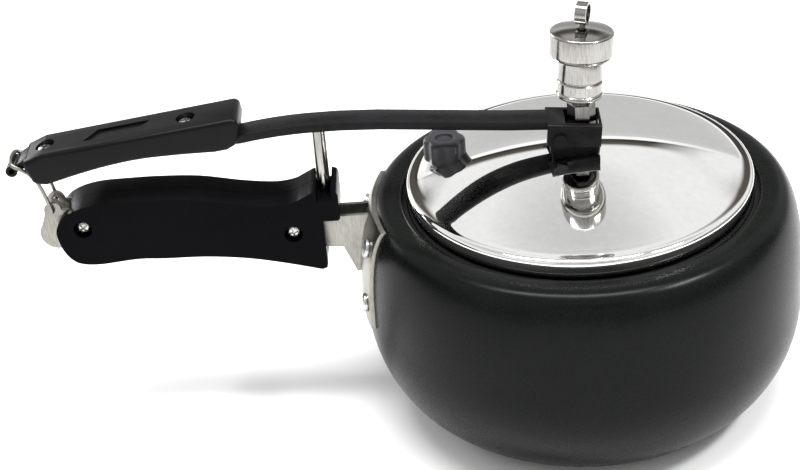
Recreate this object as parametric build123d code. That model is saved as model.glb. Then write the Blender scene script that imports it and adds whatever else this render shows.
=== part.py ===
from build123d import *
import math
import os

os.makedirs("parts", exist_ok=True)

# An inner-lid pressure cooker, in millimetres. +Z is up, the origin is the centre of the
# underside of the base, and both handles point towards -X.

# ---- pot ----
base_r = 62.0            # flat underside of the base
belly_r = 106.0          # widest outside radius
belly_z = 56.0           # height of the widest line
pot_height = 112.0       # top of the mouth lip
lip_outer_r = 91.5       # the mouth lip is flat from the mouth to here
mouth_r = 85.0
pot_wall = 3.25
shoulder_power = 2.6     # roundness of the shoulder: 2 is an ellipse, more is squarer

# ---- lid and seal ----
lid_r = 82.3             # outside radius of the raised part that shows in the mouth
lid_edge_z = 120.0       # height of the flat edge of the raised part
lid_wall = 1.8
lid_edge_round = 3.0
ridge_height = 14.5      # the crest above the edge, over the lid's centre
ridge_half = 78.0        # half length of the crest, and the reach of its slopes
seal_height = 3.4
seal_clearance = 0.1     # ring to lid wall
seal_width = 8.4
seal_bite = 0.05         # left between the ring and the lip

# ---- lever bar, post and grip ----
bar_width = 13.0
bar_thick = 4.0
yoke_top_z = 149.8
crown_x = -107.0         # highest point of the bowed bar
crown_z = 157.0
post_x = -121.3
post_r = 3.15
post_foot_z = 119.5
post_tenon_r = 2.2
post_tenon = 2.6
grip_in_x = -157.5       # inner end of the grip
grip_out_x = -259.5      # outer end of the grip
grip_in_top = 165.8
grip_out_top = 152.4
grip_half = 12.0
grip_round = 1.0
grip_floor_z = 148.4     # underside of the grip along its middle
grip_skirt = 10.8        # how far the outer end reaches below that
bar_grip_z = 154.0       # top of the bar where it enters the grip
bar_tip_z = 150.2        # top of the bar where it leaves the grip
hook_r = 2.8             # outside radius of the curl at the end of the bar
hook_reach = 7.0         # middle of the curl beyond the grip
hook_drop = 6.6          # middle of the curl below the top of the bar
grip_screw_xs = (-182.4, -250.0)
grip_screw_r = 2.0
grip_head_r = 3.6
grip_head_h = 2.4
panel_x = -215.0         # plain sunk panel in the top of the grip
panel_length = 28.0
panel_width = 11.0
panel_depth = 0.6

# ---- yoke, lug and pin ----
yoke_in_x = -14.0
yoke_out_x = 11.0
yoke_half = 10.0
yoke_tilt = 5.0          # degrees that the yoke slopes down, in line with the bar
yoke_thick = 3.0
flange_thick = 2.4
flange_drop = 11.0
slot_in_x = -6.0
slot_out_x = 10.0
slot_half = 7.0
lug_in_x = -13.5
lug_out_x = 10.0
lug_gap = 0.5            # lug to each yoke flange
lug_top_z = 143.0
pin_x = -9.0
pin_z = 141.2
pin_r = 2.0
pin_fit = 0.05
pin_head_r = 3.2
pin_head_h = 1.5
pin_tail = 4.5
split_r = 0.7

# ---- steam vent and weight ----
vent_x = 2.0
vent_af = 11.5
vent_hex_h = 13.6
vent_stem_r = 3.4
vent_stem_h = 15.0
vent_bore_r = 1.2
vent_shank_r = 4.0
vent_nut_af = 13.0
vent_nut_h = 4.0
washer_r = 7.5
washer_h = 1.0
weight_gap = 3.0         # hex top to weight
weight_lean = 4.0        # degrees: the weight hangs loose on its stem and leans to the right
weight_tip = 4.0         # degrees: and away from the front
neck_r = 10.6
neck_h = 21.1
sleeve_h = 8.3           # lower sleeve, below the groove
groove_h = 0.8
head_r = 14.3
head_h = 8.6             # side of the head
head_dome = 2.6          # low dome on top of it
head_round = 1.2
head_under_round = 3.0
weight_bore_clear = 1.9
needle_r = 2.6
ring_r = 5.3
ring_wall = 1.1
ring_width = 5.2
ring_peg_r = 1.5
ring_peg_show = 1.2      # peg between the head and the ring
ring_peg_sink = 3.0
ring_turn = 12.0         # degrees about the weight's axis

# ---- safety valve ----
valve_x = -64.0
valve_y = 14.0
valve_stem_r = 4.0
valve_cap_r = 9.3
valve_cap_h = 10.0
valve_lobes = 6
valve_flange_r = 9.0
valve_flange_h = 2.0
valve_nut_af = 13.0
valve_nut_h = 4.0
plug_r = 2.2

# ---- body handle ----
handle_half = 12.0
handle_round = 4.0
handle_in_x = -122.5     # face that meets the bracket
nose_x = -114.5          # end of the nose that holds the post
nose_top_z = 122.5
nose_floor_z = 108.0
tail_x = -250.5
handle_top_z = 126.0
handle_low_z = 93.0
handle_chin_z = 81.5
waist_x = -147.0
waist_z = 119.2
notch_clear = 0.5
notch_gap = 0.3          # under the foot of the post
handle_screw_spots = ((-137.4, 102.0), (-237.0, 112.5))
screw_r = 2.0
screw_head_r = 3.8
screw_head_h = 2.4
counterbore_clear = 0.4
nut_af = 7.0
nut_h = 3.0

# ---- bracket ----
saddle_gap = 0.05        # pot to saddle plate
sheet = 1.8
saddle_half = 30.0
saddle_low_z = 57.0
saddle_high_z = 110.0
tang_y = 5.6             # middle of each tang
tang_low_z = 90.0
tang_high_z = 107.0
tang_reach_x = -152.0
tang_fit = 0.1
rivet_y = 21.0
rivet_zs = (67.0, 97.0)
rivet_r = 2.4
rivet_head_r = 4.6
rivet_head_h = 1.8
rivet_head_gap = 0.15    # flat head to curved sheet
rivet_fit = 0.02

# ---- latch ----
loop_wire_r = 1.2
loop_half = 8.3          # middle of each leg
loop_fit = 0.05
loop_gap = 1.6           # slack of the cross bar above the bar
loop_reach = 4.0         # cross bar beyond the grip
loop_sink = 1.5          # the bar falls by this towards its curl
pivot_x = -250.8
pivot_z = 121.0
latch_sheet = 1.4
ear_y = 5.6              # middle of each ear
ear_r = 4.2
lobe_x = -250.6          # round lobe of each ear, below the pivot
lobe_z = 108.4
lobe_r = 8.2
latch_root_x = -236.0
latch_low_z = 104.0


def upright_prism(face_in_xz, y_low, y_high):
    """Extrude a face drawn in XZ, at y = 0, between two values of y."""
    solid = extrude(face_in_xz, amount=y_high - y_low, dir=(0, 1, 0))
    return Pos(0, y_low, 0) * solid


def box_between(x0, x1, y0, y1, z0, z1):
    """A block given by its limits."""
    middle = ((x0 + x1) / 2, (y0 + y1) / 2, (z0 + z1) / 2)
    return Pos(*middle) * Box(abs(x1 - x0), abs(y1 - y0), abs(z1 - z0))


def rod(x, y, z_low, z_high, radius):
    """An upright cylinder."""
    return Pos(x, y, (z_low + z_high) / 2) * Cylinder(radius, z_high - z_low)


def cross_rod(x, z, y_low, y_high, radius):
    """A cylinder along Y."""
    return Pos(x, (y_low + y_high) / 2, z) * Rot(90, 0, 0) * Cylinder(radius, y_high - y_low)


def hex_prism(x, y, z_low, z_high, across_flats):
    """An upright hexagonal prism."""
    outline = RegularPolygon(across_flats / 2, 6, major_radius=False)
    return Pos(x, y, z_low) * extrude(outline, amount=z_high - z_low)


def closed_face(points):
    """A face in XZ from corner points."""
    return make_face(Polyline([(x, 0, z) for x, z in points], close=True))


# ---- pot outline ----

def pot_outline(offset):
    """Points of the pot's outside, moved outwards by offset, from the base to the lip."""
    low = []
    high = []
    steps = 12
    for i in range(steps + 1):
        angle = math.pi / 2 * i / steps
        low.append((base_r + (belly_r - base_r + offset) * math.sin(angle),
                    belly_z - (belly_z + offset) * math.cos(angle)))
    rise = pot_height - belly_z + offset
    reach = belly_r - lip_outer_r + offset
    for i in range(1, steps + 1):
        angle = math.pi / 2 * i / steps
        share = math.sin(angle)
        width = max(0.0, 1 - share ** shoulder_power) ** (1 / shoulder_power)
        high.append((lip_outer_r + reach * width, belly_z + rise * share))
    return low, high


def outline_edges(offset):
    """Side and shoulder curves of the pot's outside moved outwards by offset, from low to high."""
    low, high = pot_outline(offset)
    side = Spline([(r, 0, z) for r, z in low], tangents=[(1, 0, 0), (0, 0, 1)])
    shoulder = Spline([(r, 0, z) for r, z in [low[-1]] + high], tangents=[(0, 0, 1), (-1, 0, 0)])
    return side, shoulder


def pot_solid(offset):
    """Solid of revolution inside the pot's outside surface moved outwards by offset."""
    side, shoulder = outline_edges(offset)
    start = side @ 0
    end = shoulder @ 1
    bottom = Line((0, 0, start.Z), start)
    top = Line(end, (0, 0, end.Z))
    axis = Line((0, 0, end.Z), (0, 0, start.Z))
    return revolve(make_face([bottom, side, shoulder, top, axis]), Axis.Z, 360)


def rivet_places():
    """Y and Z of each bracket rivet, with the pot's outside radius and slope there."""
    low, high = pot_outline(0)
    outline = low + high
    places = []
    for z in rivet_zs:
        for (r0, z0), (r1, z1) in zip(outline, outline[1:]):
            if z0 <= z <= z1:
                radius = r0 + (r1 - r0) * (z - z0) / (z1 - z0)
                lean = math.degrees(math.atan2(r0 - r1, z1 - z0))
        for side in (-1, 1):
            places.append((side * rivet_y, z, radius, lean))
    return places


def on_pot(solid, y, z, radius, lean):
    """Place a solid drawn about +X so that its origin is on the pot, square to the wall."""
    turn = math.degrees(math.asin(y / radius))
    return Rot(0, 0, 180 - turn) * Pos(radius, 0, z) * Rot(0, -lean, 0) * solid


def rivet_hole(y, z, radius, lean):
    """Hole for one rivet, its seam turned away from the pot's own curves."""
    drill = Rot(0, 90, 0) * Rot(0, 0, 35) * Cylinder(rivet_r + rivet_fit, 30)
    return on_pot(drill, y, z, radius, lean)


def rivet_at(y, z, radius, lean):
    """One rivet through the saddle plate and the pot, with a low head at each end."""
    outer = saddle_gap + sheet + rivet_head_gap
    inner = -pot_wall - 2 * rivet_head_gap
    shank = Pos((outer + inner) / 2, 0, 0) * Rot(0, 90, 0) * Cylinder(rivet_r, outer - inner)
    for place in (outer + rivet_head_h / 2, inner - rivet_head_h / 2):
        head = Pos(place, 0, 0) * Rot(0, 90, 0) * Cylinder(rivet_head_r, rivet_head_h)
        rims = head.edges().filter_by(GeomType.CIRCLE).sort_by(Axis.X)
        shank += fillet(rims[-1] if place > 0 else rims[0], rivet_head_h * 0.7)
    return on_pot(shank, y, z, radius, lean)


def pot_body():
    """The pot: a round-bellied wall with a flat lip that turns in to the mouth."""
    side, shoulder = outline_edges(0)
    inner_side, inner_shoulder = outline_edges(-pot_wall)
    top = shoulder @ 1
    inner_top = inner_shoulder @ 1
    start = side @ 0
    inner_start = inner_side @ 0
    lip = (mouth_r, 0, (top.Z + inner_top.Z) / 2)
    corner = pot_wall * 0.4
    wall = make_face([
        Line((0, 0, 0), start), side, shoulder,
        Line(top, (mouth_r + corner, 0, top.Z)),
        ThreePointArc((mouth_r + corner, 0, top.Z), lip, (mouth_r + corner, 0, inner_top.Z)),
        Line((mouth_r + corner, 0, inner_top.Z), inner_top), inner_shoulder, inner_side,
        Line(inner_start, (0, 0, inner_start.Z)), Line((0, 0, inner_start.Z), (0, 0, 0)),
    ])
    solid = revolve(wall, Axis.Z, 360)
    for place in rivet_places():
        solid -= rivet_hole(*place)
    return solid


# ---- bracket ----

def pot_bracket():
    """Saddle plate on the pot with two tangs that run out into the body handle."""
    shell = pot_solid(saddle_gap + sheet) - pot_solid(saddle_gap)
    window = box_between(-belly_r - 10, -60, -saddle_half, saddle_half, saddle_low_z, saddle_high_z)
    solid = shell & window
    for place in rivet_places():
        solid -= rivet_hole(*place)
    for side in (-1, 1):
        y = side * tang_y
        outline = closed_face([
            (tang_reach_x, tang_low_z + 4), (tang_reach_x, tang_high_z - 2), (handle_in_x, tang_high_z),
            (-95, tang_high_z), (-95, tang_low_z - 14), (-belly_r - 3, tang_low_z - 14),
            (handle_in_x + 8, tang_low_z),
        ])
        tang = upright_prism(outline, y - sheet / 2, y + sheet / 2)
        solid += tang - pot_solid(saddle_gap)
    x, z = handle_screw_spots[0]
    solid -= cross_rod(x, z, -handle_half, handle_half, screw_r + 0.1)
    return solid


def bracket_rivets():
    """Four rivets that hold the bracket to the pot."""
    return Compound([rivet_at(*place) for place in rivet_places()])


# ---- body handle ----

def handle_outline():
    """Side view of the body handle."""
    sweep_round = Spline([
        (nose_x - 12, 0, nose_top_z), (waist_x + 4, 0, waist_z),
        (waist_x - 34, 0, handle_top_z - 1.5), (tail_x + 34, 0, handle_top_z),
        (tail_x + 12, 0, handle_top_z - 2.5), (tail_x + 1, 0, handle_top_z - 13),
        (tail_x + 5, 0, handle_low_z + 11), (tail_x + 16, 0, handle_low_z + 2),
        (tail_x + 32, 0, handle_low_z + 1), (tail_x + 70, 0, handle_low_z),
        (handle_in_x - 38, 0, handle_low_z - 2.5), (handle_in_x - 3, 0, handle_chin_z),
    ])
    nose = Polyline([
        (handle_in_x - 3, 0, handle_chin_z), (handle_in_x, 0, handle_chin_z + 4),
        (handle_in_x, 0, nose_floor_z), (nose_x, 0, nose_floor_z),
        (nose_x, 0, nose_top_z - 3), (nose_x - 3, 0, nose_top_z), (nose_x - 12, 0, nose_top_z),
    ])
    return make_face([sweep_round] + list(nose.edges()))


def handle_half_solid(side):
    """One half of the body handle, with its pockets; side is -1 for -Y and 1 for +Y."""
    gap = 0.02
    outline = handle_outline()
    block = upright_prism(outline, -handle_half, handle_half)
    outer = block.faces().sort_by(Axis.Y)[0 if side < 0 else -1].edges()
    block = fillet(outer, handle_round)
    keep = box_between(tail_x - 20, nose_x + 20, side * gap, side * (handle_half + 5), 60, 160)
    half = block & keep
    y = side * tang_y
    slot_half_width = sheet / 2 + tang_fit
    half -= box_between(tang_reach_x - 0.5, handle_in_x + 5, y - slot_half_width, y + slot_half_width,
                        tang_low_z - 6, tang_high_z + 0.6)
    half -= notch()
    half -= tail_pocket()
    for x, z in handle_screw_spots:
        half -= cross_rod(x, z, -handle_half - 1, handle_half + 1, screw_r + 0.1)
        if side < 0:
            half -= cross_rod(x, z, -handle_half - 1, -handle_half + 2 + screw_head_h,
                              screw_head_r + counterbore_clear)
        else:
            half -= nut_prism(x, z, handle_half - nut_h - 2, handle_half + 1, nut_af + 0.3)
    return half


def notch():
    """Slot across the nose for the foot of the post."""
    reach = post_r + notch_clear
    return box_between(post_x - reach, post_x + reach, -handle_half - 1, handle_half + 1,
                       post_foot_z - notch_gap, nose_top_z + 10)


def tail_pocket():
    """Room in the tail of the handle for the latch bracket."""
    reach = ear_y + latch_sheet / 2 + 0.1
    pocket = box_between(tail_x - 20, latch_root_x + 0.3, -reach, reach, latch_low_z - 0.1,
                         latch_low_z + 2 * (handle_screw_spots[1][1] - latch_low_z) + 0.1)
    for x, z, radius in ((pivot_x, pivot_z, ear_r), (lobe_x, lobe_z, lobe_r)):
        pocket += cross_rod(x, z, -reach, reach, radius + 0.3)
    return pocket


def nut_prism(x, z, y_low, y_high, across_flats):
    """A hexagonal prism along Y."""
    outline = RegularPolygon(across_flats / 2, 6, major_radius=False)
    solid = extrude(outline, amount=y_high - y_low)
    return Pos(x, y_high, z) * Rot(90, 0, 0) * solid


def body_handle_screws():
    """Cross-head screws that clamp the two halves of the body handle."""
    screws = []
    for x, z in handle_screw_spots:
        head_floor = -handle_half + 2 + screw_head_h
        head = cross_rod(x, z, head_floor - screw_head_h, head_floor, screw_head_r)
        head = fillet(head.edges().sort_by(Axis.Y)[0], 0.8)
        shank = cross_rod(x, z, head_floor, handle_half - 2.5, screw_r)
        screw = head + shank
        for turn in (0, 90):
            screw -= Pos(x, head_floor - screw_head_h, z) * Rot(0, turn + 20, 0) * Box(4.4, 2.2, 0.9)
        screws.append(screw)
    return Compound(screws)


def body_handle_nuts():
    """Nuts sunk in the far half of the body handle."""
    nuts = []
    for x, z in handle_screw_spots:
        nut = nut_prism(x, z, handle_half - nut_h - 2, handle_half - 2, nut_af)
        nut -= cross_rod(x, z, 0, handle_half + 1, screw_r + 0.03)
        nuts.append(nut)
    return Compound(nuts)


# ---- latch ----

def latch_bracket():
    """Bent sheet in the handle's tail: two ears with round lobes carry the loop."""
    screw_x, screw_z = handle_screw_spots[1]
    height = 2 * (screw_z - latch_low_z)
    solid = None
    for side in (-1, 1):
        y = side * ear_y
        cheek = cross_rod(pivot_x, pivot_z, y - latch_sheet / 2, y + latch_sheet / 2, ear_r)
        cheek += cross_rod(lobe_x, lobe_z, y - latch_sheet / 2, y + latch_sheet / 2, lobe_r)
        strap = closed_face([
            (latch_root_x, latch_low_z), (latch_root_x, latch_low_z + height),
            (pivot_x + ear_r - 0.3, pivot_z), (pivot_x - ear_r + 0.3, pivot_z - 1),
            (lobe_x - lobe_r + 0.5, lobe_z + 2), (lobe_x, latch_low_z),
        ])
        cheek += upright_prism(strap, y - latch_sheet / 2, y + latch_sheet / 2)
        solid = cheek if solid is None else solid + cheek
    solid += box_between(latch_root_x - latch_sheet, latch_root_x, -ear_y, ear_y,
                         latch_low_z, latch_low_z + height)
    for side in (-1, 1):
        y = side * ear_y
        solid -= cross_rod(pivot_x, pivot_z, y - 3, y + 3, loop_wire_r + loop_fit)
    solid -= cross_rod(screw_x, screw_z, -handle_half, handle_half, screw_r + 0.1)
    return solid


def loop_top():
    """X and Z of the loop's cross bar, which lies over the bar beside its curl."""
    return grip_out_x - loop_reach, bar_tip_z - loop_sink + loop_gap + loop_wire_r


def latch_loop():
    """Wire loop: two legs, a cross bar over the bar's end and two ends turned in."""
    top_x, top_z = loop_top()
    inner_end = ear_y - latch_sheet / 2 - 0.6
    route = FilletPolyline(
        (pivot_x, -inner_end, pivot_z), (pivot_x, -loop_half, pivot_z),
        (top_x, -loop_half, top_z), (top_x, loop_half, top_z),
        (pivot_x, loop_half, pivot_z), (pivot_x, inner_end, pivot_z), radius=1.5)
    section = Plane(origin=(pivot_x, -inner_end, pivot_z), z_dir=(0, -1, 0)) * Circle(loop_wire_r)
    return sweep(section, path=route)


# ---- lever ----

def bar_outline():
    """Side view of the bar from the yoke to its curled end."""
    top_points = [
        (yoke_in_x, 0, yoke_top_z), (crown_x + 45, 0, crown_z - 3.4), (crown_x, 0, crown_z),
        (grip_in_x, 0, bar_grip_z),
    ]
    low_points = [(x, 0, z - bar_thick) for x, y, z in top_points]
    tip_x = grip_out_x + 1
    top = Spline(top_points)
    low = Spline(low_points)
    return make_face([
        top,
        Line(top_points[-1], (tip_x, 0, bar_tip_z)),
        Line((tip_x, 0, bar_tip_z), (tip_x, 0, bar_tip_z - bar_thick)),
        Line((tip_x, 0, bar_tip_z - bar_thick), low_points[-1]),
        low,
        Line(low_points[0], top_points[0]),
    ])


def bar_curl():
    """Curled end of the bar: a short eye rolled downwards."""
    centre_x = grip_out_x - hook_reach
    centre_z = bar_tip_z - hook_drop
    lead = closed_face([
        (grip_out_x + 1, bar_tip_z), (centre_x + 1.2, centre_z + hook_r - 0.2),
        (centre_x + 0.4, centre_z + hook_r - 2.4),
        (centre_x + 4, centre_z), (grip_out_x + 1, bar_tip_z - bar_thick),
    ])
    eye = cross_rod(centre_x, centre_z, -bar_width / 2, bar_width / 2, hook_r)
    curl = upright_prism(lead, -bar_width / 2, bar_width / 2) + eye
    return curl - cross_rod(centre_x, centre_z, -bar_width, bar_width, hook_r - 1.4)


def yoke():
    """Channel at the end of the bar: a plate with a flange down each side."""
    block = box_between(yoke_in_x - 0.3, yoke_out_x, -yoke_half, yoke_half,
                        yoke_top_z - flange_drop, yoke_top_z)
    ridge = block.edges().filter_by(Axis.X).group_by(Axis.Z)[-1]
    block = fillet(ridge, 1.4)
    inside = yoke_half - flange_thick
    block -= box_between(yoke_in_x - 5, yoke_out_x + 5, -inside, inside,
                         yoke_top_z - flange_drop - 1, yoke_top_z - yoke_thick)
    hinge = Pos(yoke_in_x, 0, yoke_top_z)
    return hinge * Rot(0, yoke_tilt, 0) * hinge.inverse() * block


def lever_bar():
    """Bowed lever: a strip, a slotted yoke with two flanges at the lid, a curl at the grip."""
    strip = upright_prism(bar_outline(), -bar_width / 2, bar_width / 2)
    strip += bar_curl()
    solid = strip + yoke()
    solid -= box_between(slot_in_x, slot_out_x, -slot_half, slot_half,
                         yoke_top_z - 3 * bar_thick, yoke_top_z + 1)
    solid -= cross_rod(pin_x, pin_z, -yoke_half - 1, yoke_half + 1, pin_r + pin_fit)
    solid -= rod(post_x, 0, crown_z - 12, bar_under(post_x) + post_tenon, post_tenon_r)
    for x in grip_screw_xs:
        solid -= rod(x, 0, bar_tip_z - 10, crown_z + 10, grip_screw_r)
    return solid


def bar_under(x):
    """Height of the underside of the bar at x, measured on its outline."""
    probe = bar_outline() & closed_face([(x - 0.01, 100), (x + 0.01, 100), (x + 0.01, 200), (x - 0.01, 200)])
    return probe.bounding_box().min.Z


def bar_over(x):
    """Height of the top of the bar at x, between the grip's ends."""
    share = (x - grip_in_x) / (grip_out_x + 1 - grip_in_x)
    return bar_grip_z + (bar_tip_z - bar_grip_z) * share


def support_post():
    """Post under the bar: its round foot rocks in the nose of the body handle."""
    top = min(bar_under(post_x - post_r), bar_under(post_x + post_r)) - 0.02
    solid = rod(post_x, 0, post_foot_z, top, post_r)
    foot = cross_rod(post_x, post_foot_z + post_r, -post_r, post_r, post_r)
    solid &= foot + rod(post_x, 0, post_foot_z + post_r, top, post_r)
    return solid + rod(post_x, 0, top - 0.5, top + post_tenon - 0.1, post_tenon_r - 0.02)


def grip_top(x):
    """Height of the top of the grip at x."""
    share = (x - grip_in_x) / (grip_out_x - grip_in_x)
    return grip_in_top + (grip_out_top - grip_in_top) * share


def screw_seat(x):
    """Level under a grip screw's head: sunk in the grip, and clear of the bar."""
    return max(grip_top(x) - 1.2 - grip_head_h, bar_over(x) + 0.8)


def lid_grip():
    """Moulded grip round the outer part of the bar, open below at its outer end."""
    top = Line((grip_in_x, 0, grip_in_top), (grip_out_x + 5, 0, grip_top(grip_out_x + 5)))
    end = Polyline([
        (grip_out_x + 5, 0, grip_top(grip_out_x + 5)), (grip_out_x, 0, bar_tip_z - 0.2),
        (grip_out_x + 1, 0, grip_floor_z - 4), (grip_out_x + 4, 0, grip_floor_z - grip_skirt + 1),
        (grip_out_x + 9, 0, grip_floor_z - grip_skirt),
    ])
    under = Spline([
        (grip_out_x + 9, 0, grip_floor_z - grip_skirt), (grip_out_x + 52, 0, grip_floor_z - 0.8),
        (grip_in_x - 12, 0, grip_floor_z), (grip_in_x - 2, 0, grip_floor_z + 2.5),
        (grip_in_x + 1.2, 0, grip_floor_z + 10),
    ])
    inner = Line((grip_in_x + 1.2, 0, grip_floor_z + 10), (grip_in_x, 0, grip_in_top))
    block = upright_prism(make_face([top, *end.edges(), under, inner]), -grip_half, grip_half)
    sides = block.faces().sort_by(Axis.Y)
    block = fillet(sides[0].edges() + sides[-1].edges(), grip_round)
    fit = 0.05
    channel = box_between(grip_out_x - 10, grip_in_x + 5, -bar_width / 2 - fit, bar_width / 2 + fit,
                          100, bar_tip_z)
    block -= channel - box_between(grip_out_x + 26, grip_in_x + 5, -50, 50, 90, 200)
    block -= grow_bar(fit)
    wire = loop_half + loop_wire_r + 0.5
    top_x, top_z = loop_top()
    for side in (-1, 1):
        reach = sorted((side * (loop_half - loop_wire_r - 0.5), side * wire))
        block -= box_between(grip_out_x - 10, grip_out_x + 18, reach[0], reach[1], 100, top_z + 2.0)
    block -= box_between(grip_out_x - 10, grip_out_x + 2.2, -wire, wire, 100, top_z + 2.0)
    for x in grip_screw_xs:
        seat = screw_seat(x)
        block -= rod(x, 0, bar_tip_z - 12, grip_in_top + 20, grip_screw_r + 0.1)
        block -= rod(x, 0, seat, grip_in_top + 20, grip_head_r + 0.4)
    slope = math.degrees(math.atan2(grip_in_top - grip_out_top, grip_in_x - grip_out_x))
    panel = Pos(panel_x, 0, grip_top(panel_x)) * Rot(0, -slope, 0)
    block -= panel * Box(panel_length, panel_width, 2 * panel_depth)
    return block


def grow_bar(fit):
    """The straight part of the bar inside the grip, with clearance all round."""
    outline = closed_face([
        (grip_in_x + 6, bar_over(grip_in_x + 6) + fit), (grip_out_x - 8, bar_over(grip_out_x - 8) + fit),
        (grip_out_x - 8, bar_over(grip_out_x - 8) - bar_thick - fit),
        (grip_in_x + 6, bar_over(grip_in_x + 6) - bar_thick - fit),
    ])
    return upright_prism(outline, -bar_width / 2 - fit, bar_width / 2 + fit)


def grip_screws():
    """Two screws down through the grip into the bar."""
    screws = []
    for x in grip_screw_xs:
        seat = screw_seat(x)
        head = rod(x, 0, seat, seat + grip_head_h, grip_head_r)
        head = fillet(head.edges().sort_by(Axis.Z)[-1], 0.8)
        screw = head + rod(x, 0, bar_over(x) - bar_thick + 0.4, seat, grip_screw_r - 0.02)
        for turn in (0, 90):
            screw -= Pos(x, 0, seat + grip_head_h) * Rot(0, 0, turn + 30) * Box(4.2, 0.9, 2.0)
        screws.append(screw)
    return Compound(screws)


# ---- lid ----

def tent(drop, reach_low):
    """Arch along X whose two sides slope down to the lid's edge, lowered by drop."""
    crest = lid_edge_z + ridge_height - drop
    ends = lid_edge_z - drop
    arch = ThreePointArc((-ridge_half, 0, ends), (0, 0, crest), (ridge_half, 0, ends))
    outline = make_face([
        arch, Line((ridge_half, 0, ends), (ridge_half, 0, reach_low)),
        Line((ridge_half, 0, reach_low), (-ridge_half, 0, reach_low)),
        Line((-ridge_half, 0, reach_low), (-ridge_half, 0, ends)),
    ])
    solid = None
    for side in (-1, 1):
        direction = (0, side * ridge_half, -ridge_height)
        length = math.hypot(ridge_half, ridge_height)
        slope = extrude(outline, amount=length, dir=direction)
        solid = slope if solid is None else solid + slope
    return solid


def lid_shell():
    """Pressed lid: raised top with a long ridge, a short wall and a flange for the ring."""
    flange_top = pot_height - pot_wall - seal_bite - seal_height
    flange_r = lid_r + seal_width + 1.0
    outer = rod(0, 0, flange_top - lid_wall, lid_edge_z, lid_r)
    top_edge = outer.edges().sort_by(Axis.Z)[-1]
    outer = fillet(top_edge, lid_edge_round)
    inner = rod(0, 0, flange_top - lid_wall - 1, lid_edge_z - lid_wall, lid_r - lid_wall)
    inner = fillet(inner.edges().sort_by(Axis.Z)[-1], lid_edge_round - lid_wall + 0.6)
    rise = tent(0, lid_edge_z - 8) & rod(0, 0, lid_edge_z - 1, lid_edge_z + 40, lid_r - 2)
    hollow = tent(lid_wall, lid_edge_z - 9) & rod(0, 0, lid_edge_z - 12, lid_edge_z + 40, lid_r - 4)
    flange = rod(0, 0, flange_top - lid_wall, flange_top, flange_r)
    flange = fillet(flange.edges(), lid_wall * 0.4)
    solid = outer + rise + flange - inner - hollow
    solid -= rod(vent_x, 0, lid_edge_z - 20, lid_edge_z + 40, vent_shank_r + 0.05)
    solid -= rod(valve_x, valve_y, lid_edge_z - 20, lid_edge_z + 40, valve_stem_r + 0.05)
    return solid


def sealing_ring():
    """Rubber ring round the lid's wall, pressed up against the lip."""
    top = pot_height - pot_wall - seal_bite
    ring_in = lid_r + seal_clearance
    ring = rod(0, 0, top - seal_height + 0.02, top, lid_r + seal_width)
    ring -= rod(0, 0, top - seal_height - 1, top + 1, ring_in)
    return fillet(ring.edges(), 0.6)


def lid_outside():
    """Everything under the top of the lid, used to fit feet onto it."""
    return tent(0, lid_edge_z - 8) + rod(0, 0, lid_edge_z - 8, lid_edge_z, lid_r)


def lid_lug():
    """Block on the crest that hangs the lid from the yoke by the pin."""
    half = yoke_half - flange_thick - lug_gap
    block = box_between(lug_in_x, lug_out_x, -half, half, lid_edge_z, lug_top_z)
    block = fillet(block.edges().filter_by(Axis.Z), 1.5)
    block -= lid_outside()
    block -= cross_rod(pin_x, pin_z, -half - 1, half + 1, pin_r + pin_fit)
    return block - rod(vent_x, 0, lid_edge_z - 5, lug_top_z + 5, vent_shank_r + 0.05)


def lid_pin():
    """Headed pin through the yoke's flanges and the lug."""
    solid = cross_rod(pin_x, pin_z, -yoke_half - 0.2, yoke_half + pin_tail, pin_r)
    solid += cross_rod(pin_x, pin_z, -yoke_half - 0.2 - pin_head_h, -yoke_half - 0.2, pin_head_r)
    solid = chamfer(solid.edges().sort_by(Axis.Y)[-1], 0.5)
    y = yoke_half + pin_tail - 2
    return solid - Pos(pin_x, y, pin_z) * Rot(0, 90, 0) * Cylinder(split_r + 0.03, 12)


def split_pin():
    """Split pin through the tail of the lid pin, with its eye towards the handles."""
    y = yoke_half + pin_tail - 2
    reach = 4.2
    leg = Pos(pin_x - 0.2, y, pin_z) * Rot(0, 90, 0) * Cylinder(split_r, 2 * reach)
    eye = Pos(pin_x - reach - 1.9, y, pin_z) * Torus(1.7, split_r)
    return leg + eye


def crest_under(x, y):
    """Height of the underside of the lid at a place, from its two slopes."""
    radius = (ridge_half ** 2 + ridge_height ** 2) / (2 * ridge_height)
    arch = math.sqrt(radius ** 2 - x ** 2) - (radius - ridge_height)
    slope = ridge_height * abs(y) / ridge_half
    return lid_edge_z + max(0.0, arch - slope) - lid_wall


def vent_tube():
    """Steam vent: hexagon on the lug, stem above it and a threaded shank through the lid."""
    hex_top = lug_top_z + vent_hex_h
    low = crest_under(vent_x, 0) - washer_h - vent_nut_h - 3
    solid = hex_prism(vent_x, 0, lug_top_z, hex_top, vent_af)
    solid = chamfer(solid.edges().group_by(Axis.Z)[-1], 0.7)
    stem = rod(vent_x, 0, hex_top - 1, hex_top + vent_stem_h, vent_stem_r)
    stem = chamfer(stem.edges().sort_by(Axis.Z)[-1], 0.8)
    solid += stem
    solid += rod(vent_x, 0, low, lug_top_z + 1, vent_shank_r)
    return solid - rod(vent_x, 0, low - 1, hex_top + vent_stem_h + 1, vent_bore_r)


def under_lid_stack(x, y):
    """Top of the washer under the lid at a place: clear of both slopes and of the arch."""
    spots = [(x + washer_r * math.cos(a), y + washer_r * math.sin(a)) for a in
             [math.pi * i / 8 for i in range(16)]]
    return min(crest_under(sx, sy) for sx, sy in spots) - 0.02


def vent_washer():
    """Washer under the crest."""
    top = under_lid_stack(vent_x, 0)
    ring = rod(vent_x, 0, top - washer_h, top, washer_r)
    return ring - rod(vent_x, 0, top - 5, top + 1, vent_shank_r + 0.05)


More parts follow.
